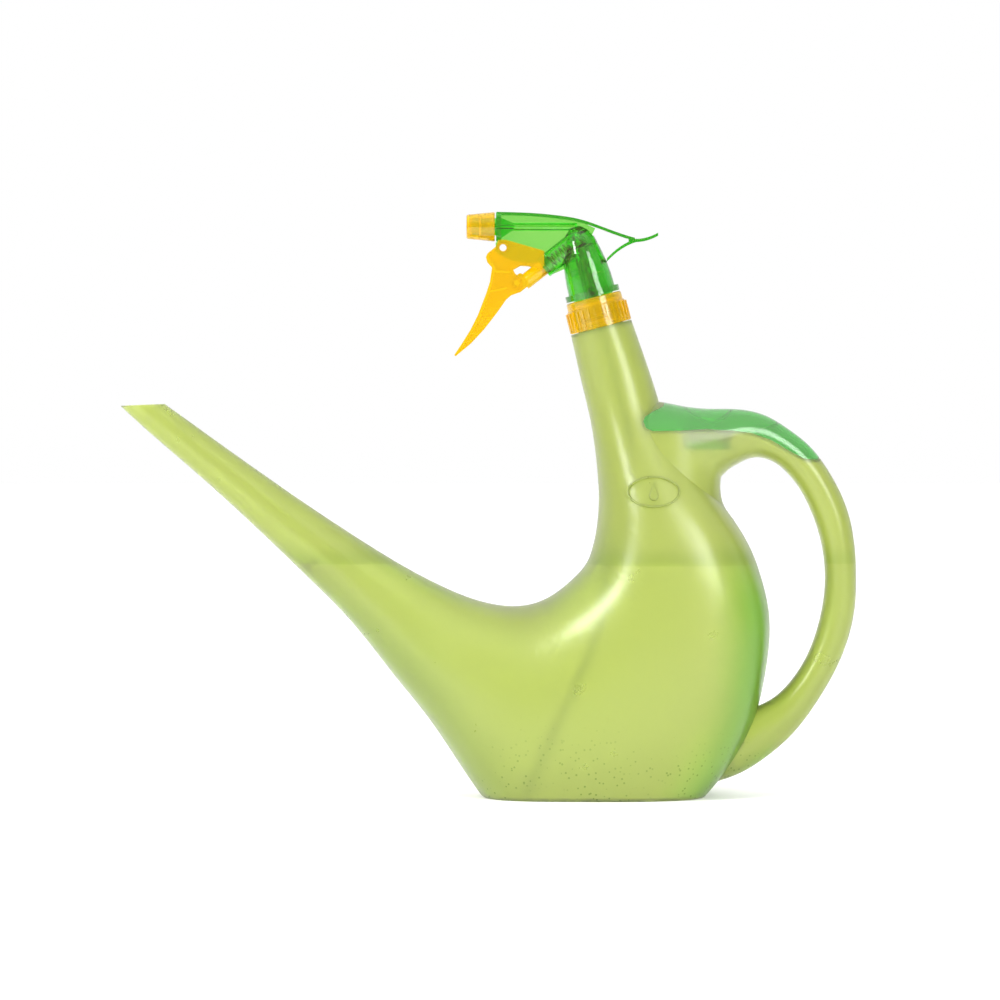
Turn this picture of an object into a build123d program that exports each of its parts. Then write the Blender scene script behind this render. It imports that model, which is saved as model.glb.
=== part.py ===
from build123d import *
import math
import os

# Watering can with a trigger sprayer. Millimetres, +Z up, spout towards -X, handle towards +X,
# mirror plane at Y = 0. The origin is on the standing plane, midway along the overall length.

# ---- driving dimensions: blow-moulded can ----
WALL = 1.5                      # wall of the can
BASE_EDGE_R = 3.0               # rounding of the edge it stands on
SQUARENESS = 2.6                # superellipse exponent of the body's sections
TUBE_ROUNDNESS = 2.15           # the same for spout, neck and handle
ROWS_PER_STATION = 4            # rows of surface points from one station to the next
ROW_POINTS = 17                 # points on each half row

# ---- fill cap that lies flush on the bridge between neck and handle ----
CAP_SKIN = 1.8                  # thickness of the lid
CAP_CLEARANCE = 0.3             # lid to can
RECESS = CAP_SKIN + CAP_CLEARANCE
HINGE_X = 157.3
HINGE_Z = 203.6
HINGE_GAP = 0.5
HINGE_SLOPE_END = (140.5, 198.9)    # where the parting line below the hinge leaves the cap's edge
FILL_X = 118.75
FILL_HOLE_R = 15.0
PLUG_R = 14.3
PLUG_WALL = 1.4
PLUG_BOTTOM_Z = 193.5

# ---- neck: a 28 mm bottle finish, tilted forwards ----
TILT = 14.5
NECK_X = 61.2                   # middle of the shoulder that the collar stands on
NECK_Z = 255.2
NECK_R = 16.85
FINISH_R = 12.6                 # root of the neck's thread
FINISH_BORE_R = 10.75
FINISH_H = 12.0
THREAD_CREST_R = 13.8
THREAD_LEAD = 3.175
THREAD_TURNS = 1.3
THREAD_START_H = 4.6

# ---- collar nut that holds the sprayer on the neck ----
COLLAR_BASE_H = 0.3
COLLAR_TOP_H = 16.9
COLLAR_LIP_H = 15.7
COLLAR_BORE_R = 14.1
COLLAR_CREST_R = 13.0
COLLAR_HOLE_R = 11.3
COLLAR_BASE_R = 16.6
COLLAR_TOP_R = 15.2
COLLAR_RIBS = 30
COLLAR_RIB_TOP_H = 12.0

# ---- heights of the stack inside the collar, above the shoulder ----
GASKET_H = 12.02
INSERT_FLANGE_H = 13.4
HEAD_FLANGE_H = 14.4
HEAD_FLANGE_R = 12.7
HEAD_SPIGOT_R = 11.0
HEAD_SKIRT_H = 17.4
HEAD_SKIRT_R = 14.85
HEAD_SKIRT_TOP_H = 20.6
SEAT_H = 19.0                   # seat of the inlet ball
SEAT_R = 1.6
BALL_R = 2.1
BALL_BORE_R = 3.2
BALL_STOP_H = 24.0
CHANNEL_R = 1.6                 # riser from the inlet ball to the pump and the spray tube

# ---- dip tube ----
TUBE_R = 2.5
TUBE_BORE_R = 1.7
TUBE_TOP_H = 12.4
TUBE_ROUTE = [(81.0, 178.5), (69.0, 100.0), (22.0, 5.0)]    # (x, z) below the neck
BEND_SHARE = 0.45               # share of the shorter run that each bend takes

# ---- pump: a cylinder that slants up to the right, with its mouth towards the trigger ----
PUMP_ANGLE = 38.0
PUMP_X = 29.7                   # middle of the cylinder's mouth
PUMP_Z = 287.6
PUMP_R = 6.0
PUMP_BORE_R = 4.8
PUMP_LENGTH = 26.8
PUMP_BORE_DEPTH = 25.4
SEAL_FRONT = 2.0                # the seal's depth in the bore at rest
SEAL_LENGTH = 3.0
SPRING_R = 3.1
SPRING_WIRE_R = 0.35
SPRING_TURNS = 8

# ---- spray tube and nozzle ----
SPRAY_Z = 309.8
SPRAY_R = 2.15
SPRAY_BORE_R = 1.2
PLATE_X = 4.1                   # front face of the plate that the nozzle turns against
PLATE_THICKNESS = 2.8
PLATE_HEIGHT = 15.6
NOZZLE_LEAD = 1.6
SPIGOT_R = 4.8
SPIGOT_BORE_R = 3.2
SPIGOT_END_W = 8.6              # distances called w run from X = 0 towards -X, out of the nozzle
CAP_FRONT_W = 11.9
CAP_BACK_W = -3.4
CAP_RIBS = 20

# ---- trigger ----
PIVOT_X = 7.9
PIVOT_Z = 298.4
PIVOT_BORE_R = 2.75
TRUNNION_R = 2.65
TRUNNION_HOLE_R = 1.9
HUB_HALF_WIDTH = 5.9
ARM_INNER_Y = 6.4
ARM_OUTER_Y = 8.0
HOOK_X = 15.5
HOOK_Z = 279.4
HOOK_PIN_R = 1.5
WEB_THICKNESS = 1.2

neck_frame = Location((NECK_X, 0, NECK_Z), (0, -TILT, 0))
pump_frame = Location((PUMP_X, 0, PUMP_Z), (0, 90 - PUMP_ANGLE, 0))
nozzle_frame = Location((0, 0, SPRAY_Z), (0, -90, 0))


def on_neck(across, height):
    """The (x, z) of a point beside the neck's axis, height above its shoulder."""
    place = (neck_frame * Location((across, 0, height))).position
    return (place.X, place.Z)


# Stations of the body, from the spout's tip round the throat to the neck. Each is a section across
# the can: its (x, z) on the throat's side, its (x, z) on the outer side, and its half depth in Y.
# The ones under the floor are cut off flat at Z = 0.
BODY_STATIONS = [
    ((-198.0, 228.9), (-206.1, 218.5), 6.6),
    ((-175.3, 213.1), (-185.9, 199.6), 8.4),
    ((-142.7, 189.7), (-155.7, 173.4), 10.4),
    ((-105.7, 163.6), (-122.3, 142.7), 13.3),
    ((-73.1, 141.9), (-94.1, 115.5), 17.0),
    ((-44.8, 124.5), (-72.0, 92.4), 22.0),
    ((-18.8, 111.4), (-49.2, 63.6), 29.0),
    ((0.8, 104.9), (-25.8, 33.2), 36.0),
    ((17.1, 103.5), (9.0, -13.6), 42.0),
    ((30.7, 107.1), (47.0, -24.5), 45.0),
    ((42.1, 114.7), (95.9, -16.8), 47.0),
    ((51.9, 124.5), (135.6, 24.5), 47.0),
    ((56.3, 133.7), (149.2, 61.4), 46.0),
    ((59.0, 146.2), (152.7, 93.5), 44.0),
    ((60.1, 161.4), (148.2, 119.0), 41.0),
    ((59.5, 174.5), (137.8, 143.5), 36.5),
    ((57.9, 189.7), (116.6, 173.4), 29.5),
    ((55.2, 206.0), (97.6, 203.3), 22.5),
    ((51.9, 220.1), (90.8, 220.5), 19.3),
    ((48.6, 234.2), (84.9, 238.4), 17.8),
    (on_neck(-NECK_R, 0), on_neck(NECK_R, 0), NECK_R),
]
# Stations of the bridge and the handle, from inside the body over the top and down behind it:
# the hand hole's side, the outer side, half depth.
HANDLE_STATIONS = [
    ((133.5, 150.5), (100.0, 140.0), 18.0),
    ((127.2, 160.6), (78.0, 158.0), 25.0),
    ((126.2, 172.0), (67.0, 184.0), 26.0),
    ((127.7, 175.3), (77.0, 213.0), 24.0),
    ((131.0, 178.3), (107.5, 212.2), 20.5),
    ((138.0, 182.4), (131.0, 211.0), 17.0),
    ((146.0, 184.6), (149.0, 208.0), 13.8),
    ((155.5, 181.8), (163.6, 199.6), 11.8),
    ((163.9, 174.5), (176.0, 189.2), 11.0),
    ((171.2, 164.1), (187.2, 173.4), 10.8),
    ((177.7, 149.3), (195.4, 155.2), 10.8),
    ((181.7, 134.2), (199.2, 135.9), 10.8),
    ((183.0, 117.9), (200.0, 116.9), 10.8),
    ((181.2, 101.4), (198.6, 97.8), 10.8),
    ((176.3, 83.8), (193.0, 78.2), 10.8),
    ((167.8, 67.4), (183.8, 59.5), 10.8),
    ((154.2, 53.2), (168.5, 37.4), 11.0),
    ((138.0, 45.0), (151.9, 22.0), 11.5),
    ((123.1, 33.7), (135.6, 12.0), 12.0),
    ((108.0, 30.0), (116.6, 6.0), 12.0),
]
# Side outline of the fill cap's lower edge, from its nose to its tail; above it the cap follows the
# can's own surface.
CAP_OUTLINE = [
    (83.6, 204.4), (85.0, 200.9), (88.6, 199.3), (104.1, 199.5), (117.7, 200.3), (131.3, 199.5),
    (142.1, 198.2), (153.0, 194.3), (163.9, 187.9), (171.2, 184.2), (178.5, 183.4),
    (190.0, 196.0), (169.3, 220.0), (98.6, 220.0), (94.6, 212.5), (88.6, 209.6), (84.6, 207.0),
]


BELLY_STATION = 11              # where the body's sections are squarest
BELLY_REACH = 6                 # stations from there to where they are round again


def smooth_through(values):
    """Function of t that passes smoothly through the values at t = 0, 1, 2 and so on."""
    bends = [0.0] * len(values)
    for _ in range(60):
        for k in range(1, len(values) - 1):
            turn = values[k + 1] - 2 * values[k] + values[k - 1]
            bends[k] = (6 * turn - bends[k - 1] - bends[k + 1]) / 4

    def value(t):
        k = min(int(t), len(values) - 2)
        after = t - k
        before = 1 - after
        straight = before * values[k] + after * values[k + 1]
        return straight + ((before ** 3 - before) * bends[k] + (after ** 3 - after) * bends[k + 1]) / 6

    return value


def half_row(near, far, half_depth, exponent, grow):
    """Points of half a superellipse through near and far, bulging half_depth towards +Y."""
    middle = (near + far) * 0.5
    half = (far - near).length / 2
    along = (far - near).normalized()
    row = []
    for index in range(ROW_POINTS):
        turn = math.pi * index / (ROW_POINTS - 1)
        cosine = math.cos(turn)
        sine = math.sin(turn) if 0 < index < ROW_POINTS - 1 else 0.0
        reach = math.copysign(abs(cosine) ** (2 / exponent), cosine) * (half + grow)
        bulge = sine ** (2 / exponent) * (half_depth + grow)
        row.append(middle + along * reach + Vector(0, bulge, 0))
    return row


def skin_through(stations, exponents, grow):
    """Closed solid of smoothly changing section through the stations, offset by grow."""
    columns = [(*near, *far, depth, power)
               for (near, far, depth), power in zip(stations, exponents)]
    guides = [smooth_through(column) for column in zip(*columns)]
    rows = []
    for index in range((len(stations) - 1) * ROWS_PER_STATION + 1):
        near_x, near_z, far_x, far_z, depth, power = [
            guide(index / ROWS_PER_STATION) for guide in guides]
        rows.append(half_row(Vector(near_x, 0, near_z), Vector(far_x, 0, far_z), depth, power, grow))
    side = Face.make_surface_from_array_of_points(rows, tol=0.02, min_deg=3, max_deg=3)
    other_side = side.mirror(Plane.XZ)
    first_end = Face(Wire([end_edge(side, rows[0]), end_edge(other_side, rows[0])]))
    last_end = Face(Wire([end_edge(side, rows[-1]), end_edge(other_side, rows[-1])]))
    return Solid(Shell([side, other_side, first_end, last_end]))


def end_edge(side, row):
    """The edge of a side surface that runs along its first or last row."""
    middle = row[len(row) // 2]
    return min(side.edges(), key=lambda edge: math.dist(mid_xz(edge), (middle.X, middle.Z)))


def mid_xz(edge):
    """The (x, z) of an edge's middle."""
    middle = edge @ 0.5
    return (middle.X, middle.Z)


def body_skin(grow):
    """Spout, belly and neck in one smooth solid, offset by grow."""
    exponents = []
    for index in range(len(BODY_STATIONS)):
        belly = max(0.0, 1 - abs(index - BELLY_STATION) / BELLY_REACH)
        exponents.append(TUBE_ROUNDNESS + (SQUARENESS - TUBE_ROUNDNESS) * belly)
    exponents[-1] = 2.0
    return skin_through(BODY_STATIONS, exponents, grow)


def handle_skin(grow):
    """Bridge and handle in one smooth bent tube, offset by grow."""
    return skin_through(HANDLE_STATIONS, [TUBE_ROUNDNESS] * len(HANDLE_STATIONS), grow)


def side_prism(outline, spread=0.0):
    """An X-Z outline, spread outwards by the given distance, pushed through the whole width in Y."""
    face = make_face(Polyline(*outline, close=True))
    if spread:
        face = offset(face, amount=spread)
    return extrude(Plane.XZ * face, amount=60, both=True)


def turned(profile):
    """Solid of revolution about Z from (radius, height) points."""
    return revolve(Plane.XZ * make_face(Polyline(*profile, close=True)), axis=Axis.Z)


def plate(outline, half_width):
    """An X-Z outline made into a plate centred on the mirror plane."""
    return extrude(Plane.XZ * make_face(Polyline(*outline, close=True)), amount=half_width, both=True)


def strip(upper, thickness, half_width):
    """A curved strap under a line of X-Z points, centred on the mirror plane."""
    lower = [(x, z - thickness) for x, z in upper]
    edges = [Spline(*upper), Line(upper[-1], lower[-1]), Spline(*reversed(lower)), Line(lower[0], upper[0])]
    return extrude(Plane.XZ * make_face(edges), amount=half_width, both=True)


def disc(radius, low, high):
    """Cylinder about Z between two heights."""
    return Pos(0, 0, low) * Cylinder(radius, high - low, align=(Align.CENTER, Align.CENTER, Align.MIN))


def cross_rod(x, z, radius, low_y, high_y):
    """Cylinder parallel to Y."""
    return Location((x, high_y, z), (90, 0, 0)) * disc(radius, 0, high_y - low_y)


def thread(lead, turns, root_r, crest_r, root_width, crest_width):
    """Helical ridge about Z, its middle starting at height 0 on the X axis."""
    buried = 0.3 if crest_r > root_r else -0.3
    profile = [
        (root_r - buried, -root_width / 2), (crest_r, -crest_width / 2),
        (crest_r, crest_width / 2), (root_r - buried, root_width / 2),
    ]
    path = Helix(pitch=lead, height=turns * lead, radius=root_r)
    return sweep(Plane.XZ * make_face(Polyline(*profile, close=True)), path=path, is_frenet=True)


def coil(radius, wire_r, turns, length):
    """Compression spring about Z from height 0, with its wire wholly above that plane."""
    pitch = (length - 2 * wire_r) / turns
    path = Pos(0, 0, wire_r) * Helix(pitch=pitch, height=turns * pitch, radius=radius)
    return sweep(Plane(origin=path @ 0, z_dir=path % 0) * Circle(wire_r), path=path, is_frenet=True)


# ---- can ----

def can_outside(grow, base_edge_r=0.0):
    """The can's whole outer surface as a solid, offset by grow, standing flat on a rounded edge."""
    body = body_skin(grow) - Pos(0, 0, -100 - grow) * Box(600, 200, 200)
    if base_edge_r > 0:
        body = fillet(body.edges().filter_by_position(Axis.Z, -grow - 0.01, -grow + 0.01), base_edge_r)
    return body + handle_skin(grow)


def stepped_can(main_grow, recess_grow, spread):
    """The can offset by main_grow, but by recess_grow where the fill cap lies on it."""
    prism = side_prism(CAP_OUTLINE, spread)
    main = can_outside(main_grow, BASE_EDGE_R + main_grow)
    return (main - prism) + (can_outside(recess_grow) & prism)


def badge():
    """Plain oval rim with a drop inside it, raised on the can's near flank."""
    rim = Ellipse(14.5, 8.5) - Ellipse(13.3, 7.3)
    tip = (0, 5.2)
    drop = make_face([ThreePointArc((-2.3, -1.6), (0, -4.4), (2.3, -1.6)),
                      Line((2.3, -1.6), tip), Line(tip, (-2.3, -1.6))])
    marks = Plane.XZ * (Pos(88.9, 166.9) * (rim + drop))
    return extrude(marks, amount=60) & (body_skin(0.8) - body_skin(-0.5))


def vessel():
    """Hollow blow-moulded can with its spout mouth, fill hole and threaded neck."""
    outside = stepped_can(0, -RECESS, 0)
    inside = stepped_can(-WALL, -RECESS - WALL, WALL)
    over_shoulder = neck_frame * disc(NECK_R, -WALL, 5)
    mouth_cut = Location((-185, 0, 213.2), (0, -2.3, 0)) * (Pos(0, 0, 25) * Box(70, 60, 50))
    fill_hole = Pos(FILL_X, 0, 0) * disc(FILL_HOLE_R, 196, 216)
    finish = turned([(FINISH_BORE_R, -WALL), (NECK_R - 1, -WALL), (NECK_R - 1, 0), (FINISH_R, 0),
                     (FINISH_R, FINISH_H), (FINISH_BORE_R, FINISH_H)])
    ridge = thread(THREAD_LEAD, THREAD_TURNS, FINISH_R, THREAD_CREST_R, 1.5, 0.8)
    finish += Pos(0, 0, THREAD_START_H) * ridge
    bore = neck_frame * disc(FINISH_BORE_R, -5, FINISH_H)
    shell = outside + badge() - (inside - over_shoulder)
    return shell - mouth_cut - fill_hole - bore + neck_frame * finish


def cap_blank(clearance):
    """The fill cap's whole shell, lid and strap in one, clearance above the can's recess."""
    skin = can_outside(0) & side_prism(CAP_OUTLINE)
    return skin - can_outside(-RECESS + clearance)


def beyond_hinge(shift):
    """The strap's side of the cap, shifted along X. Below the hinge its edge slopes to clear the lid."""
    end_x, end_z = HINGE_SLOPE_END
    outline = [(end_x, end_z), (HINGE_X, HINGE_Z - 0.6), (HINGE_X, 230), (220, 230), (220, 170), (end_x, 170)]
    return side_prism([(x + shift, z) for x, z in outline])


def fill_cap():
    """Hinged lid with the hollow plug that closes the fill hole."""
    lid = cap_blank(CAP_CLEARANCE) - beyond_hinge(-HINGE_GAP / 2)
    plug = turned([(PLUG_R - PLUG_WALL, PLUG_BOTTOM_Z), (PLUG_R - 0.9, PLUG_BOTTOM_Z),
                   (PLUG_R, PLUG_BOTTOM_Z + 3.5), (PLUG_R, 215), (PLUG_R - PLUG_WALL, 215)])
    return lid + ((Pos(FILL_X, 0, 0) * plug) & can_outside(-CAP_SKIN / 2))


def cap_strap():
    """Tail of the fill cap, which stays on the can behind the living hinge."""
    return cap_blank(0) & beyond_hinge(HINGE_GAP / 2)


# ---- neck fittings ----

def collar_nut():
    """Ribbed, internally threaded nut."""
    shell = turned([
        (COLLAR_BORE_R, COLLAR_BASE_H), (COLLAR_BASE_R, COLLAR_BASE_H),
        (COLLAR_BASE_R - 0.6, COLLAR_RIB_TOP_H), (COLLAR_TOP_R + 0.2, COLLAR_RIB_TOP_H + 0.4),
        (COLLAR_TOP_R, COLLAR_TOP_H - 0.6), (COLLAR_TOP_R - 0.6, COLLAR_TOP_H),
        (COLLAR_HOLE_R, COLLAR_TOP_H), (COLLAR_HOLE_R, COLLAR_LIP_H), (COLLAR_BORE_R, COLLAR_LIP_H),
    ])
    rib = Pos(COLLAR_BASE_R - 0.25, 0, COLLAR_BASE_H + 0.4) * Box(
        1.3, 1.2, COLLAR_RIB_TOP_H - 1.4, align=(Align.CENTER, Align.CENTER, Align.MIN))
    for index in range(COLLAR_RIBS):
        shell += Rot(0, 0, 360 * index / COLLAR_RIBS) * rib
    # turned half round and one lead down, so the ridges lie between the neck's, with room to turn
    start_h = THREAD_START_H - THREAD_LEAD
    ridge = thread(THREAD_LEAD, THREAD_TURNS, COLLAR_BORE_R, COLLAR_CREST_R, 1.3, 0.6)
    shell += Location((0, 0, start_h), (0, 0, 180)) * ridge
    return neck_frame * shell


def neck_gasket():
    """Flat sealing ring between the neck's rim and the sprayer."""
    return neck_frame * (disc(12.5, GASKET_H, INSERT_FLANGE_H) - disc(10.3, GASKET_H, INSERT_FLANGE_H))


def tube_insert():
    """Disc under the sprayer that holds the dip tube and carries the inlet ball's seat."""
    body = turned([
        (SEAT_R, TUBE_TOP_H + 0.2), (SEAT_R, SEAT_H), (BALL_BORE_R - 0.05, SEAT_H),
        (BALL_BORE_R - 0.05, HEAD_FLANGE_H), (12.5, HEAD_FLANGE_H), (12.5, INSERT_FLANGE_H),
        (4.2, INSERT_FLANGE_H), (3.8, 5.0), (TUBE_R + 0.02, 5.0), (TUBE_R + 0.02, TUBE_TOP_H + 0.2),
    ])
    return neck_frame * body


def tube_path():
    """Centre line of the dip tube: straight runs joined by tangent arcs."""
    top = on_neck(0, TUBE_TOP_H)
    points = [top] + TUBE_ROUTE
    radii = []
    for before, corner, after in zip(points, points[1:], points[2:]):
        run = min(math.dist(before, corner), math.dist(corner, after))
        first = Vector(corner[0] - before[0], corner[1] - before[1])
        second = Vector(after[0] - corner[0], after[1] - corner[1])
        half_turn = math.radians(first.get_angle(second)) / 2
        radii.append(BEND_SHARE * run / math.tan(half_turn))
    return FilletPolyline(*[(x, 0, z) for x, z in points], radius=radii)


def dip_tube():
    """Flexible suction tube from the insert down to the floor under the spout."""
    path = tube_path()
    section = Circle(TUBE_R) - Circle(TUBE_BORE_R)
    return sweep(Plane(origin=path @ 0, z_dir=path % 0) * section, path=path)


def ball(frame, centre, radius):
    """Valve ball on a frame's axis."""
    return frame * (Pos(0, 0, centre) * Sphere(radius))


def inlet_ball():
    """Ball that lets water up the dip tube and not back."""
    centre = SEAT_H + math.sqrt(BALL_R ** 2 - SEAT_R ** 2) + 0.05
    return ball(neck_frame, centre, BALL_R)


# ---- sprayer head ----

ROOF = [(4.4, 317.8), (26.5, 317.0), (37.7, 315.9), (48.9, 314.0), (60.0, 310.4), (79.4, 303.8)]
TAIL = [(76.0, 303.4), (81.0, 303.2), (92.0, 306.6)]
STRUT = [(64.2, 292.6), (67.5, 295.9), (72.0, 299.4), (80.5, 303.4)]
WEB = [
    (5.0, 317.0), (5.0, 302.5), (3.9, 301.0), (3.9, 296.3), (7.5, 294.0), (13.1, 291.3), (21.1, 290.3),
    (25.2, 290.0), (29.7, 287.6), (38.0, 291.0), (50.0, 300.0), (56.5, 306.0), (58.0, 309.0), (48.9, 313.0), (26.5, 316.0),
]
GUSSET = [(6.0, 315.0), (6.0, 303.0), (14.0, 308.5), (14.0, 311.5)]
CYLINDER_GUSSET = [(33.2, 283.4), (42.0, 287.2), (46.0, 295.0), (38.0, 292.0)]


def head_neck():
    """The hollow cone that stands on the collar, before its cavity is cut."""
    return neck_frame * turned([
        (0, HEAD_FLANGE_H), (HEAD_FLANGE_R, HEAD_FLANGE_H), (HEAD_FLANGE_R, HEAD_FLANGE_H + 1),
        (HEAD_SPIGOT_R, HEAD_FLANGE_H + 1), (HEAD_SPIGOT_R, HEAD_SKIRT_H), (HEAD_SKIRT_R, HEAD_SKIRT_H),
        (HEAD_SKIRT_R, HEAD_SKIRT_TOP_H), (12.9, HEAD_SKIRT_TOP_H), (12.5, 28), (11.9, 34), (10.4, 42),
        (8.7, 49), (6.0, 53.5), (3.0, 56), (0, 57),
    ])


def head_cavity():
    """The hollow inside that cone."""
    return neck_frame * turned([(0, HEAD_FLANGE_H), (9.6, HEAD_FLANGE_H), (9.6, 30), (8.6, 38), (6.6, 44),
                                (0, 46)])


def pump_body():
    """One moulding: neck cone, pump cylinder, spray tube, nozzle spigot, thin web and tail."""
    front = Pos(PLATE_X + PLATE_THICKNESS / 2, 0, SPRAY_Z) * Box(PLATE_THICKNESS, 13, PLATE_HEIGHT)
    body = head_neck() + plate(WEB, WEB_THICKNESS / 2) + fillet(front.edges().filter_by(Axis.X), 3)
    body += strip(ROOF, 1.7, 5.5) + strip(TAIL, 1.7, 4.5) + strip(STRUT, 1.8, 4.0)
    body += plate(GUSSET, 3.5) + plate(CYLINDER_GUSSET, WEB_THICKNESS / 2)
    body += cross_rod(PIVOT_X, PIVOT_Z, PIVOT_BORE_R + 1.1, -HUB_HALF_WIDTH, HUB_HALF_WIDTH)
    body -= head_cavity()
    body += neck_frame * disc(BALL_BORE_R + 1.4, HEAD_FLANGE_H + 0.6, 50)
    body += pump_frame * disc(PUMP_R, 0, PUMP_LENGTH)
    body += nozzle_frame * (disc(SPRAY_R, -48, 0) + disc(SPIGOT_R, -PLATE_X, SPIGOT_END_W))
    ridge = thread(NOZZLE_LEAD, 2.5, SPIGOT_R, SPIGOT_R + 0.45, 0.6, 0.3)
    body += nozzle_frame * (Pos(0, 0, -2.2) * ridge)
    body -= pump_frame * disc(PUMP_BORE_R, -24, PUMP_BORE_DEPTH)
    body -= neck_frame * (disc(BALL_BORE_R, HEAD_FLANGE_H, BALL_STOP_H) + disc(CHANNEL_R, 20, 55))
    body -= nozzle_frame * (disc(SPRAY_BORE_R, -47, 0) + disc(SPIGOT_BORE_R, -3, SPIGOT_END_W))
    return body - cross_rod(PIVOT_X, PIVOT_Z, PIVOT_BORE_R, -8, 8)


def trigger():
    """U-shaped finger lever: two arms on hollow trunnions, joined by the front wall and cross ribs."""
    outline = [
        (5.4, 302.6), (3.9, 298.9), (-0.6, 295.2), (-1.4, 293.2), (-0.7, 290.6), (1.9, 287.6),
        (0.8, 280.1), (-0.9, 274.6), (-3.0, 269.0), (-5.8, 261.8), (-9.7, 254.0), (-14.2, 246.8),
        (-18.6, 240.2), (-17.8, 239.6), (-9.7, 246.3), (-2.5, 254.0), (4.5, 263.0), (9.7, 270.4),
        (12.3, 272.6), (16.2, 274.0), (18.4, 277.0), (18.4, 281.0), (14.4, 284.4), (13.4, 286.4),
        (17.4, 288.6), (21.4, 288.4), (28.6, 286.6), (30.2, 289.0), (30.2, 296.7), (9.4, 302.7),
    ]
    front_wall = [
        (-0.6, 295.2), (-1.4, 293.2), (-0.7, 290.6), (1.9, 287.6), (0.8, 280.1), (-0.9, 274.6),
        (-3.0, 269.0), (-5.8, 261.8), (-9.7, 254.0), (-14.2, 246.8), (-18.6, 240.2), (-17.8, 239.6),
        (-8.2, 253.4), (-4.2, 261.4), (-1.4, 268.6), (0.8, 274.2), (2.4, 280.1), (3.6, 287.8),
        (0.9, 291.2), (0.3, 293.2), (0.7, 294.4),
    ]
    arms = plate(outline, ARM_OUTER_Y) - plate(outline, ARM_INNER_Y)
    body = arms + plate(front_wall, ARM_OUTER_Y)
    body += plate([(2.6, 285.0), (2.6, 286.2), (11.6, 285.6), (11.6, 284.4)], ARM_OUTER_Y - 0.5)
    body += plate([(0.5, 273.9), (0.9, 275.1), (10.2, 277.2), (10.2, 276.0)], ARM_OUTER_Y - 0.5)
    body += cross_rod(HOOK_X, HOOK_Z, HOOK_PIN_R, -ARM_OUTER_Y, ARM_OUTER_Y)
    for side in (-1, 1):
        low = min(side * 0.6, side * ARM_OUTER_Y)
        body += cross_rod(PIVOT_X, PIVOT_Z, TRUNNION_R, low, low + ARM_OUTER_Y - 0.6)
    return body - cross_rod(PIVOT_X, PIVOT_Z, TRUNNION_HOLE_R, -9, 9)


def piston():
    """Plunger rod with the slotted block that hooks on the trigger's cross pin."""
    pin_x = -(HOOK_Z - PUMP_Z) * math.cos(math.radians(PUMP_ANGLE))
    pin_x += (HOOK_X - PUMP_X) * math.sin(math.radians(PUMP_ANGLE))
    pin_h = (HOOK_X - PUMP_X) * math.cos(math.radians(PUMP_ANGLE))
    pin_h += (HOOK_Z - PUMP_Z) * math.sin(math.radians(PUMP_ANGLE))
    rod = disc(4.2, pin_h + 3.0, SEAL_FRONT) + disc(2.4, 0, SEAL_FRONT + SEAL_LENGTH + 3)
    block = Pos(pin_x + 0.9, 0, pin_h + 1.0) * Box(8.4, 8.4, 8.4)
    block = fillet(block.edges().filter_by(Axis.Y), 1.6)
    slot = Pos(pin_x + 0.35, 0, pin_h) * Box(4.8, 12, 3.6)
    slot = fillet(slot.edges().filter_by(Axis.Y), 1.7)
    return pump_frame * (rod + block - slot)


def piston_seal():
    """Cup seal on the piston's inner end."""
    end = SEAL_FRONT + SEAL_LENGTH
    return pump_frame * turned([(2.45, SEAL_FRONT + 0.05), (4.3, SEAL_FRONT + 0.05), (4.75, end - 0.8),
                                (4.75, end), (4.2, end), (3.8, end - 1.2), (2.45, end - 1.2)])


def return_spring():
    """Compression spring between the seal and the cylinder's back wall."""
    start = SEAL_FRONT + SEAL_LENGTH - 1.1
    length = PUMP_BORE_DEPTH - start - 0.1
    return pump_frame * (Pos(0, 0, start) * coil(SPRING_R, SPRING_WIRE_R, SPRING_TURNS, length))


# ---- nozzle ----

def swirl_insert():
    """Core in the spigot's end that sets the water spinning."""
    core = disc(SPIGOT_BORE_R - 0.05, 4.4, 9.2)
    for side in (-1, 1):
        core -= Pos(side * 3.2, 0, 7) * Box(1.2, 1.6, 8)
        core -= Pos(0, side * 1.6, 9.2) * Box(5.2, 0.7, 1.0)
    return nozzle_frame * (core - disc(1.7, 8.7, 9.2))


def outlet_ball():
    """Ball that shuts the spray tube while the pump refills."""
    centre = -3.0 + math.sqrt(2.0 ** 2 - SPRAY_BORE_R ** 2) + 0.05
    return ball(nozzle_frame, centre, 2.0)


def outlet_spring():
    """Light spring that holds the outlet ball on its seat."""
    start = -0.1
    return nozzle_frame * (Pos(0, 0, start) * coil(1.65, 0.2, 5, 4.4 - start - 0.05))


def nozzle_seal():
    """O-ring between the spigot and the nozzle cap."""
    return nozzle_frame * (Pos(0, 0, 4.4) * Torus(5.45, 0.55))


def nozzle_cap():
    """Ribbed nozzle that turns on the spigot's thread, from shut to open."""
    shell = turned([
        (0.45, CAP_FRONT_W - 0.6), (1.6, CAP_FRONT_W), (6.1, CAP_FRONT_W), (6.6, CAP_FRONT_W - 0.6),
        (8.0, CAP_BACK_W + 0.5), (7.7, CAP_BACK_W), (5.5, CAP_BACK_W), (5.5, 3.2), (6.2, 3.3),
        (6.2, 5.5), (5.1, 5.5), (5.1, 10.4), (2.0, 10.4), (2.0, 9.4), (0.45, 9.4),
    ])
    rib = Location((7.35, 0, CAP_BACK_W + 1.2), (0, -5.2, 0)) * Box(
        1.0, 0.9, 12.6, align=(Align.CENTER, Align.CENTER, Align.MIN))
    for index in range(CAP_RIBS):
        shell += Rot(0, 0, 360 * index / CAP_RIBS) * rib
    ridge = thread(NOZZLE_LEAD, 2.5, 5.5, 5.0, 0.6, 0.3)
    return nozzle_frame * (shell + Location((0, 0, -2.2), (0, 0, 180)) * ridge)


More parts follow.
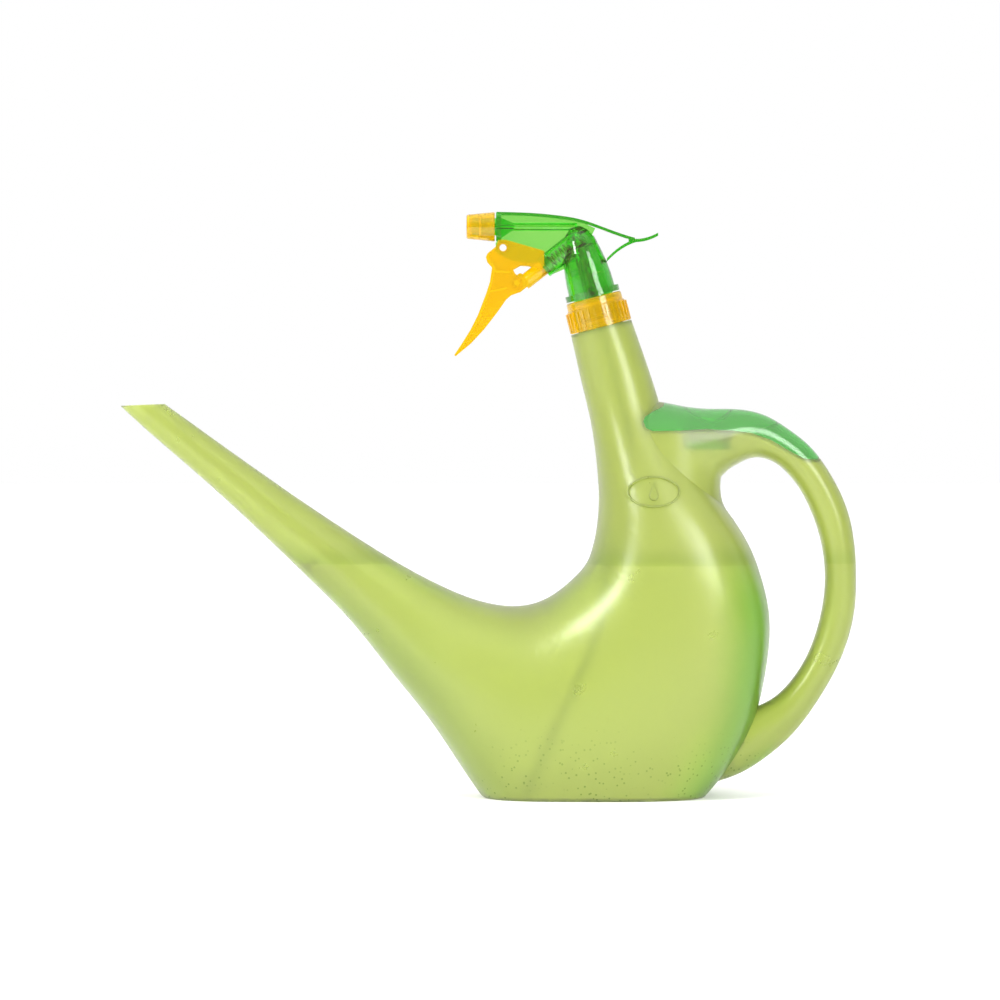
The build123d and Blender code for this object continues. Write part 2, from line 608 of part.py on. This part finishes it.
NODES = {
    "vessel": vessel,
    "fill_cap": fill_cap,
    "cap_strap": cap_strap,
    "collar_nut": collar_nut,
    "neck_gasket": neck_gasket,
    "tube_insert": tube_insert,
    "dip_tube": dip_tube,
    "inlet_ball": inlet_ball,
    "pump_body": pump_body,
    "trigger": trigger,
    "piston": piston,
    "piston_seal": piston_seal,
    "return_spring": return_spring,
    "swirl_insert": swirl_insert,
    "outlet_ball": outlet_ball,
    "outlet_spring": outlet_spring,
    "nozzle_seal": nozzle_seal,
    "nozzle_cap": nozzle_cap,
}

os.makedirs("parts", exist_ok=True)
for name, make in NODES.items():
    export_step(make(), f"parts/{name}.step")
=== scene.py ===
"""Looks of the watering can with trigger sprayer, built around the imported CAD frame."""

import math

import bmesh
import bpy
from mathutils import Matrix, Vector


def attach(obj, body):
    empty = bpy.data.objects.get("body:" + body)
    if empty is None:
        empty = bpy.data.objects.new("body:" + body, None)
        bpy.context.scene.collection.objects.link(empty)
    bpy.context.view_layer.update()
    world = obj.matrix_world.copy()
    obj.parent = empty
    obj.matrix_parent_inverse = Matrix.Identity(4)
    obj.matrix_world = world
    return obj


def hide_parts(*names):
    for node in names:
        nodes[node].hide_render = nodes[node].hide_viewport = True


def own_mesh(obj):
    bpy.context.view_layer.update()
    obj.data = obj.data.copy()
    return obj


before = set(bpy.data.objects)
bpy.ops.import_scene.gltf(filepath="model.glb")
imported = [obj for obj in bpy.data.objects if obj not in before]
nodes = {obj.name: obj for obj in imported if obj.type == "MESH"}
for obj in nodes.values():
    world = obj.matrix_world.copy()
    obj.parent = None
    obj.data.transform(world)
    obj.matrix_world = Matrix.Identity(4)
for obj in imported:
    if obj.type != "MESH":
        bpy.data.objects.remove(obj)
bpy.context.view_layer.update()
scene = bpy.context.scene

WATER_LEVEL = 0.127
WATER_GAP = 0.0002              # between the water and the wall that it fills
WATERLINE_SHADE_BAND = 0.011              # height of the painted shade band above the water level

BADGE_CENTRE = (0.0889, 0.1669)     # x and z on the near flank
BADGE_HALF_SIZE = (0.0139, 0.0079)
BADGE_RIM_RADIUS = 0.0006
DROP_TIP_RISE = 0.0052
DROP_BULB_FALL = 0.0021
DROP_RADIUS = 0.0023
DROP_LINE_RADIUS = 0.0004

PLUG_X = 0.11875
SKIRT_RADIUS = 0.0127
SKIRT_WALL = 0.0009
SKIRT_BOTTOM, SKIRT_TOP = 0.189, 0.2025

PUMP_ANGLE = math.radians(38)

HANDLE_X = 0.158                # the painted green glow on the back of the body ends where the handle's loop begins


# ---------------------------------------------------------------- node helpers

class Graph:
    """A material's node tree, with short calls that make a node and link its inputs."""

    def __init__(self, name):
        self.material = bpy.data.materials.new(name)
        self.material.use_nodes = True
        self.tree = self.material.node_tree
        self.shader = self.tree.nodes["Principled BSDF"]
        self.output = self.tree.nodes["Material Output"]
        self.coordinates = self.tree.nodes.new("ShaderNodeTexCoord")
        self.place = self.coordinates.outputs["Object"]
        self.normal = self.coordinates.outputs["Normal"]

    def put(self, socket, value):
        if isinstance(value, bpy.types.NodeSocket):
            self.tree.links.new(value, socket)
        else:
            socket.default_value = value

    def noise(self, scale, detail=2.0, stretch=None):
        node = self.tree.nodes.new("ShaderNodeTexNoise")
        source = self.place
        if stretch:
            mapping = self.tree.nodes.new("ShaderNodeMapping")
            mapping.inputs["Scale"].default_value = stretch
            self.tree.links.new(source, mapping.inputs["Vector"])
            source = mapping.outputs["Vector"]
        self.tree.links.new(source, node.inputs["Vector"])
        node.inputs["Scale"].default_value = scale
        node.inputs["Detail"].default_value = detail
        return node.outputs["Fac"]

    def cells(self, scale):
        node = self.tree.nodes.new("ShaderNodeTexVoronoi")
        self.tree.links.new(self.place, node.inputs["Vector"])
        node.inputs["Scale"].default_value = scale
        return node.outputs["Distance"]

    def math(self, operation, a, b=0.0, c=0.0):
        node = self.tree.nodes.new("ShaderNodeMath")
        node.operation = operation
        for socket, value in zip(node.inputs, (a, b, c)):
            self.put(socket, value)
        return node.outputs[0]

    def span(self, value, low, high):
        """value from low..high to 0..1, smoothly and clamped; low may be the larger."""
        node = self.tree.nodes.new("ShaderNodeMapRange")
        node.interpolation_type = "SMOOTHSTEP"
        self.put(node.inputs["Value"], value)
        node.inputs["From Min"].default_value = low
        node.inputs["From Max"].default_value = high
        return node.outputs["Result"]

    def axis(self, letter, source=None):
        node = self.tree.nodes.new("ShaderNodeSeparateXYZ")
        self.tree.links.new(source or self.place, node.inputs[0])
        return node.outputs[letter]

    def mix(self, share, a, b):
        node = self.tree.nodes.new("ShaderNodeMix")
        node.data_type = "RGBA"
        self.put(node.inputs[0], share)
        for socket, value in ((node.inputs[6], a), (node.inputs[7], b)):
            self.put(socket, value)
        return node.outputs[2]

    def bump(self, height, strength, distance, below=None):
        node = self.tree.nodes.new("ShaderNodeBump")
        node.inputs["Strength"].default_value = strength
        node.inputs["Distance"].default_value = distance
        self.tree.links.new(height, node.inputs["Height"])
        if below is not None:
            self.tree.links.new(below, node.inputs["Normal"])
        return node.outputs["Normal"]

    def absorb(self, colour, density):
        node = self.tree.nodes.new("ShaderNodeVolumeAbsorption")
        node.inputs["Color"].default_value = (*colour, 1)
        node.inputs["Density"].default_value = density
        self.tree.links.new(node.outputs[0], self.output.inputs["Volume"])

    def set(self, **values):
        for name, value in values.items():
            self.put(self.shader.inputs[name.replace("_", " ")], value)


def linear(red, green, blue):
    """An 8-bit display colour as the linear colour that shaders take."""
    channels = []
    for value in (red, green, blue):
        v = value / 255
        channels.append(v / 12.92 if v <= 0.04045 else ((v + 0.055) / 1.055) ** 2.4)
    return (*channels, 1.0)


# ---------------------------------------------------------------- materials

def can_material():
    """Blow-moulded translucent polyethylene, frosted and wavy in its wall, with a painted green glow
    round its lower back and a band of painted shade just above the water.
    """
    g = Graph("can_plastic")
    height = g.axis("Z")
    base = g.mix(g.noise(9.0, 3.0), linear(226, 232, 162), linear(221, 229, 152))
    # painted light: low on the body, where the normal turns towards +X, the colour is painted a
    # deeper green glow
    back = g.span(g.axis("X", g.normal), 0.15, 0.95)
    low = g.span(height, 0.15, 0.10)
    on_body = g.span(g.axis("X"), HANDLE_X, HANDLE_X - 0.008)
    painted_back_glow = g.math("MULTIPLY", g.math("MULTIPLY", back, low), on_body)
    base = g.mix(g.math("MULTIPLY", painted_back_glow, 0.9), base, linear(150, 222, 88))
    specks = g.span(g.cells(330.0), 0.24, 0.14)
    patches = g.span(g.noise(24.0), 0.48, 0.62)
    near_floor = g.span(height, 0.055, 0.006)
    specks = g.math("MULTIPLY", g.math("MULTIPLY", specks, patches), near_floor)
    base = g.mix(g.math("MULTIPLY", specks, 0.75), base, linear(120, 150, 50))
    # painted shade: a darker green band painted on the wall just above the water level, standing in
    # for the look of the water line
    painted_waterline_shade = g.math("MULTIPLY", g.span(height, WATER_LEVEL - 0.0002, WATER_LEVEL + 0.0004),
                         g.span(height, WATER_LEVEL + WATERLINE_SHADE_BAND, WATER_LEVEL + 0.002))
    base = g.mix(g.math("MULTIPLY", painted_waterline_shade, 0.4), base, linear(196, 212, 118))
    grain = g.noise(240.0, 1.0)
    waves = g.noise(26.0, 1.0)
    rough = g.math("MULTIPLY_ADD", g.noise(60.0, 4.0), 0.08, 0.25)
    normal = g.bump(waves, 0.2, 0.0016)
    normal = g.bump(grain, 0.10, 0.0003, normal)
    g.set(Base_Color=base, Roughness=rough, Normal=normal, Transmission_Weight=0.88, IOR=1.46)
    g.absorb((0.63, 0.75, 0.0), 200.0)
    return g.material


def clear_green(name, light, colour, density, roughness, transmission):
    """Injection-moulded transparent green: thin where light, deep where thick."""
    g = Graph(name)
    base = g.mix(g.noise(30.0, 3.0), light, tuple(0.93 * v for v in light[:3]) + (1.0,))
    flow = g.noise(55.0, 2.0, stretch=(1.0, 0.4, 2.2))
    rough = g.math("MULTIPLY_ADD", g.noise(180.0, 3.0), 0.06, roughness)
    normal = g.bump(flow, 0.18, 0.0006)
    g.set(Base_Color=base, Roughness=rough, Normal=normal, Transmission_Weight=transmission, IOR=1.49)
    g.absorb(colour, density)
    return g.material


def yellow_plastic():
    """Transparent amber-yellow moulding."""
    return clear_green("yellow_plastic", linear(250, 212, 16), (1.0, 0.86, 0.03), 100.0, 0.10, 0.74)


def clear_plastic():
    """Water-clear polyethylene tube and insert, a little milky."""
    g = Graph("clear_plastic")
    base = g.mix(g.noise(40.0), linear(250, 252, 248), linear(242, 246, 238))
    rough = g.math("MULTIPLY_ADD", g.noise(90.0, 3.0), 0.06, 0.06)
    normal = g.bump(g.noise(90.0, 1.0, stretch=(1.0, 1.0, 0.15)), 0.08, 0.0002)
    g.set(Base_Color=base, Roughness=rough, Normal=normal, Transmission_Weight=0.96, IOR=1.42)
    return g.material


def rubber():
    """Pale soft seal."""
    g = Graph("soft_seal")
    base = g.mix(g.noise(160.0, 4.0), linear(236, 234, 224), linear(210, 207, 196))
    rough = g.math("MULTIPLY_ADD", g.noise(420.0, 3.0), 0.2, 0.5)
    g.set(Base_Color=base, Roughness=rough, Normal=g.bump(g.noise(900.0), 0.2, 0.0002))
    return g.material


def steel(name, stretch, roughness):
    """Bright steel with fine marks, drawn out by stretch."""
    g = Graph(name)
    drawn = g.noise(900.0, 3.0, stretch=stretch)
    base = g.mix(drawn, linear(196, 198, 202), linear(150, 152, 158))
    rough = g.math("MULTIPLY_ADD", drawn, 0.18, roughness)
    g.set(Base_Color=base, Metallic=1.0, Roughness=rough, Normal=g.bump(drawn, 0.1, 0.0001))
    return g.material


def water_material():
    """Still water, tinted a little by what it stands in."""
    g = Graph("water")
    ripple = g.noise(70.0, 2.0)
    base = g.mix(g.noise(12.0), (0.99, 1.0, 0.98, 1), (0.96, 1.0, 0.95, 1))
    g.set(Base_Color=base, Roughness=0.02, Normal=g.bump(ripple, 0.03, 0.0004),
          Transmission_Weight=1.0, IOR=1.333)
    return g.material


HEAD_LIGHT = linear(248, 238, 165)
CAP_LIGHT = linear(128, 212, 118)
finishes = {
    "can": can_material(),
    "cap": clear_green("cap_plastic", CAP_LIGHT, (0.05, 0.94, 0.25), 420.0, 0.14, 0.72),
    "head": clear_green("head_plastic", HEAD_LIGHT, (0.03, 0.94, 0.15), 1150.0, 0.04, 0.97),
    "yellow": yellow_plastic(),
    "clear": clear_plastic(),
    "seal": rubber(),
    "spring": steel("spring_steel", (1.0, 1.0, 1.0), 0.22),
    "ball": steel("ball_steel", (0.4, 0.4, 0.4), 0.10),
}
FINISH_OF = {
    "vessel": "can", "fill_cap": "cap", "cap_strap": "cap", "pump_body": "head",
    "collar_nut": "yellow", "trigger": "yellow", "piston": "yellow", "nozzle_cap": "yellow",
    "dip_tube": "clear", "tube_insert": "clear", "swirl_insert": "clear",
    "neck_gasket": "seal", "piston_seal": "seal", "nozzle_seal": "seal",
    "return_spring": "spring", "outlet_spring": "spring", "inlet_ball": "ball", "outlet_ball": "ball",
}


def dress(name, finish):
    """Gives a CAD node its finish."""
    data = nodes[name].data
    data.materials.clear()
    data.materials.append(finishes[finish])


for node_name, finish_name in FINISH_OF.items():
    dress(node_name, finish_name)


# ---------------------------------------------------------------- water

def make_water():
    """The water in the can: the inside of its wall below the level, closed at the level."""
    mesh = bmesh.new()
    mesh.from_mesh(nodes["vessel"].data)
    bmesh.ops.remove_doubles(mesh, verts=mesh.verts, dist=1e-6)
    everything = mesh.verts[:] + mesh.edges[:] + mesh.faces[:]
    bmesh.ops.bisect_plane(mesh, geom=everything, plane_co=(0, 0, WATER_LEVEL), plane_no=(0, 0, 1),
                           clear_outer=True)
    seen = set()
    islands = []
    for start in mesh.faces:
        if start in seen:
            continue
        seen.add(start)
        stack, island = [start], []
        while stack:
            face = stack.pop()
            island.append(face)
            for edge in face.edges:
                for other in edge.link_faces:
                    if other not in seen:
                        seen.add(other)
                        stack.append(other)
        islands.append(island)
    # the outer wall reaches the floor, so the largest island above it is the inner wall
    raised = [island for island in islands if min(v.co.z for f in island for v in f.verts) > 0.001]
    kept = set(max(raised, key=len))
    bmesh.ops.delete(mesh, geom=[f for f in mesh.faces if f not in kept], context="FACES")
    rim = [e for e in mesh.edges if e.is_boundary]
    bmesh.ops.holes_fill(mesh, edges=rim, sides=0)
    bmesh.ops.recalc_face_normals(mesh, faces=mesh.faces)
    mesh.normal_update()
    for v in mesh.verts:
        v.co -= v.normal * WATER_GAP
    data = bpy.data.meshes.new("water")
    mesh.to_mesh(data)
    mesh.free()
    water = bpy.data.objects.new("water", data)
    scene.collection.objects.link(water)
    data.materials.append(water_material())
    data.polygons.foreach_set("use_smooth", [True] * len(data.polygons))
    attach(water, "can")
    return water


make_water()


# ---------------------------------------------------------------- badge

def on_flank(x, z):
    """The point of the can's near flank at this x and z."""
    hit, place, _, _ = nodes["vessel"].ray_cast((x, -0.2, z), (0, 1, 0))
    return Vector(place) if hit else Vector((x, 0, z))


def make_bead(name, outline, radius):
    """A raised moulded line on the flank, along closed (x, z) points."""
    curve = bpy.data.curves.new(name, "CURVE")
    curve.dimensions = "3D"
    curve.bevel_depth = radius
    curve.bevel_resolution = 3
    spline = curve.splines.new("POLY")
    spline.points.add(len(outline) - 1)
    for point, (x, z) in zip(spline.points, outline):
        point.co = (*on_flank(x, z), 1)
    spline.use_cyclic_u = True
    lines = bpy.data.objects.new(name, curve)
    data = bpy.data.meshes.new_from_object(lines)
    data.name = name
    bead = bpy.data.objects.new(name, data)
    scene.collection.objects.link(bead)
    bpy.data.objects.remove(lines)
    data.materials.clear()
    data.materials.append(finishes["can"])
    data.shade_smooth()
    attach(bead, "can")


def make_badge():
    """Plain oval with a drop in it."""
    centre_x, centre_z = BADGE_CENTRE
    half_x, half_z = BADGE_HALF_SIZE
    oval = []
    for step in range(72):
        turn = math.tau * step / 72
        oval.append((centre_x + half_x * math.cos(turn), centre_z + half_z * math.sin(turn)))
    make_bead("badge_rim", oval, BADGE_RIM_RADIUS)
    bulb_z = centre_z - DROP_BULB_FALL
    drop = [(centre_x, centre_z + DROP_TIP_RISE)]
    for step in range(25):
        turn = math.radians(30 - 240 * step / 24)
        drop.append((centre_x + DROP_RADIUS * math.cos(turn), bulb_z + DROP_RADIUS * math.sin(turn)))
    make_bead("badge_drop", drop, DROP_LINE_RADIUS)


make_badge()


# ---------------------------------------------------------------- lower part of the plug

def make_plug_skirt():
    """The ring inside the plug that reaches below it and shows through the can."""
    profile = ((SKIRT_RADIUS, SKIRT_TOP), (SKIRT_RADIUS, SKIRT_BOTTOM),
               (SKIRT_RADIUS - SKIRT_WALL, SKIRT_BOTTOM), (SKIRT_RADIUS - SKIRT_WALL, SKIRT_TOP))
    steps = 64
    mesh = bmesh.new()
    rings = []
    for step in range(steps):
        turn = math.tau * step / steps
        rings.append([mesh.verts.new((PLUG_X + r * math.cos(turn), r * math.sin(turn), z))
                      for r, z in profile])
    for step in range(steps):
        here, there = rings[step], rings[(step + 1) % steps]
        for k in range(len(profile)):
            after = (k + 1) % len(profile)
            mesh.faces.new((here[k], here[after], there[after], there[k]))
    bmesh.ops.recalc_face_normals(mesh, faces=mesh.faces)
    data = bpy.data.meshes.new("plug_skirt")
    mesh.to_mesh(data)
    mesh.free()
    skirt = bpy.data.objects.new("plug_skirt", data)
    scene.collection.objects.link(skirt)
    data.materials.append(
        clear_green("plug_plastic", linear(150, 235, 150), (0.05, 0.94, 0.25), 300.0, 0.3, 1.0))
    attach(skirt, "lid")


make_plug_skirt()


# ---------------------------------------------------------------- copies of the springs

def shorten(name, axis, at_low_end):
    """Puts a copy of a spring in its place, riding on the head, and hides the original."""
    source = nodes[name]
    spring = source.copy()
    spring.data = source.data.copy()
    spring.name = name + "_flexing"
    for key in list(spring.keys()):
        if key.startswith("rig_"):
            del spring[key]
    scene.collection.objects.link(spring)
    along = Vector(axis)
    pick = min if at_low_end else max
    anchor = pick((v.co for v in spring.data.vertices), key=lambda co: co.dot(along))
    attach(spring, "head")
    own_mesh(spring)
    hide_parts(name)


shorten("return_spring", (math.cos(PUMP_ANGLE), 0, math.sin(PUMP_ANGLE)), False)
shorten("outlet_spring", (1, 0, 0), True)


# ---------------------------------------------------------------- floor, light, camera

def make_floor():
    """Plain white floor that stays white under the part."""
    mesh = bmesh.new()
    bmesh.ops.create_grid(mesh, x_segments=24, y_segments=24, size=6.0)
    data = bpy.data.meshes.new("floor")
    mesh.to_mesh(data)
    mesh.free()
    floor = bpy.data.objects.new("floor", data)
    scene.collection.objects.link(floor)
    g = Graph("floor_white")
    base = g.mix(g.noise(3.0), linear(255, 255, 254), linear(252, 252, 251))
    g.set(Base_Color=base, Roughness=g.math("MULTIPLY_ADD", g.noise(8.0), 0.1, 0.7),
          Emission_Color=(1, 1, 1, 1), Emission_Strength=0.12)
    data.materials.append(g.material)


def make_area(name, place, aim, size, power):
    """Rectangular softbox."""
    data = bpy.data.lights.new(name, "AREA")
    data.shape = "RECTANGLE"
    data.size, data.size_y = size
    data.energy = power
    light = bpy.data.objects.new(name, data)
    light.location = place
    light.rotation_euler = (Vector(aim) - Vector(place)).to_track_quat("-Z", "Y").to_euler()
    scene.collection.objects.link(light)


def make_world():
    """White surroundings, bright behind and above the part and dim in front of it."""
    world = bpy.data.worlds.new("studio")
    world.use_nodes = True
    tree = world.node_tree
    background = tree.nodes["Background"]
    background.inputs["Color"].default_value = (1, 1, 1, 1)
    direction = tree.nodes.new("ShaderNodeTexCoord").outputs["Generated"]
    axes = tree.nodes.new("ShaderNodeSeparateXYZ")
    tree.links.new(direction, axes.inputs[0])
    parts = []
    for source, low, high, top in (("Y", -0.25, 0.25, 1.0), ("Z", 0.40, 0.80, 1.25)):
        ramp = tree.nodes.new("ShaderNodeMapRange")
        ramp.interpolation_type = "SMOOTHSTEP"
        tree.links.new(axes.outputs[source], ramp.inputs["Value"])
        ramp.inputs["From Min"].default_value = low
        ramp.inputs["From Max"].default_value = high
        ramp.inputs["To Min"].default_value = 0.22
        ramp.inputs["To Max"].default_value = top
        parts.append(ramp.outputs["Result"])
    brighter = tree.nodes.new("ShaderNodeMath")
    brighter.operation = "MAXIMUM"
    tree.links.new(parts[0], brighter.inputs[0])
    tree.links.new(parts[1], brighter.inputs[1])
    tree.links.new(brighter.outputs[0], background.inputs["Strength"])
    scene.world = world


def make_camera():
    """Long lens in front, a little above the can and looking down at it."""
    data = bpy.data.cameras.new("camera")
    data.lens = 198.7
    data.clip_end = 50
    camera = bpy.data.objects.new("camera", data)
    camera.location = (0.006, -3.0, 0.255)
    target = Vector((0.00625, 0, 0.1614))
    camera.rotation_euler = (target - camera.location).to_track_quat("-Z", "Y").to_euler()
    scene.collection.objects.link(camera)
    scene.camera = camera


make_floor()
make_world()
make_area("softbox_left", (-1.3, -1.2, 1.2), (0, 0, 0.12), (0.5, 0.9), 36)
make_area("softbox_right", (1.1, -1.6, 0.9), (0.05, 0, 0.15), (0.8, 0.9), 26)
make_camera()
scene.view_settings.view_transform = "Standard"
scene.view_settings.look = "None"

for o in nodes.values():
    o.data.shade_smooth()
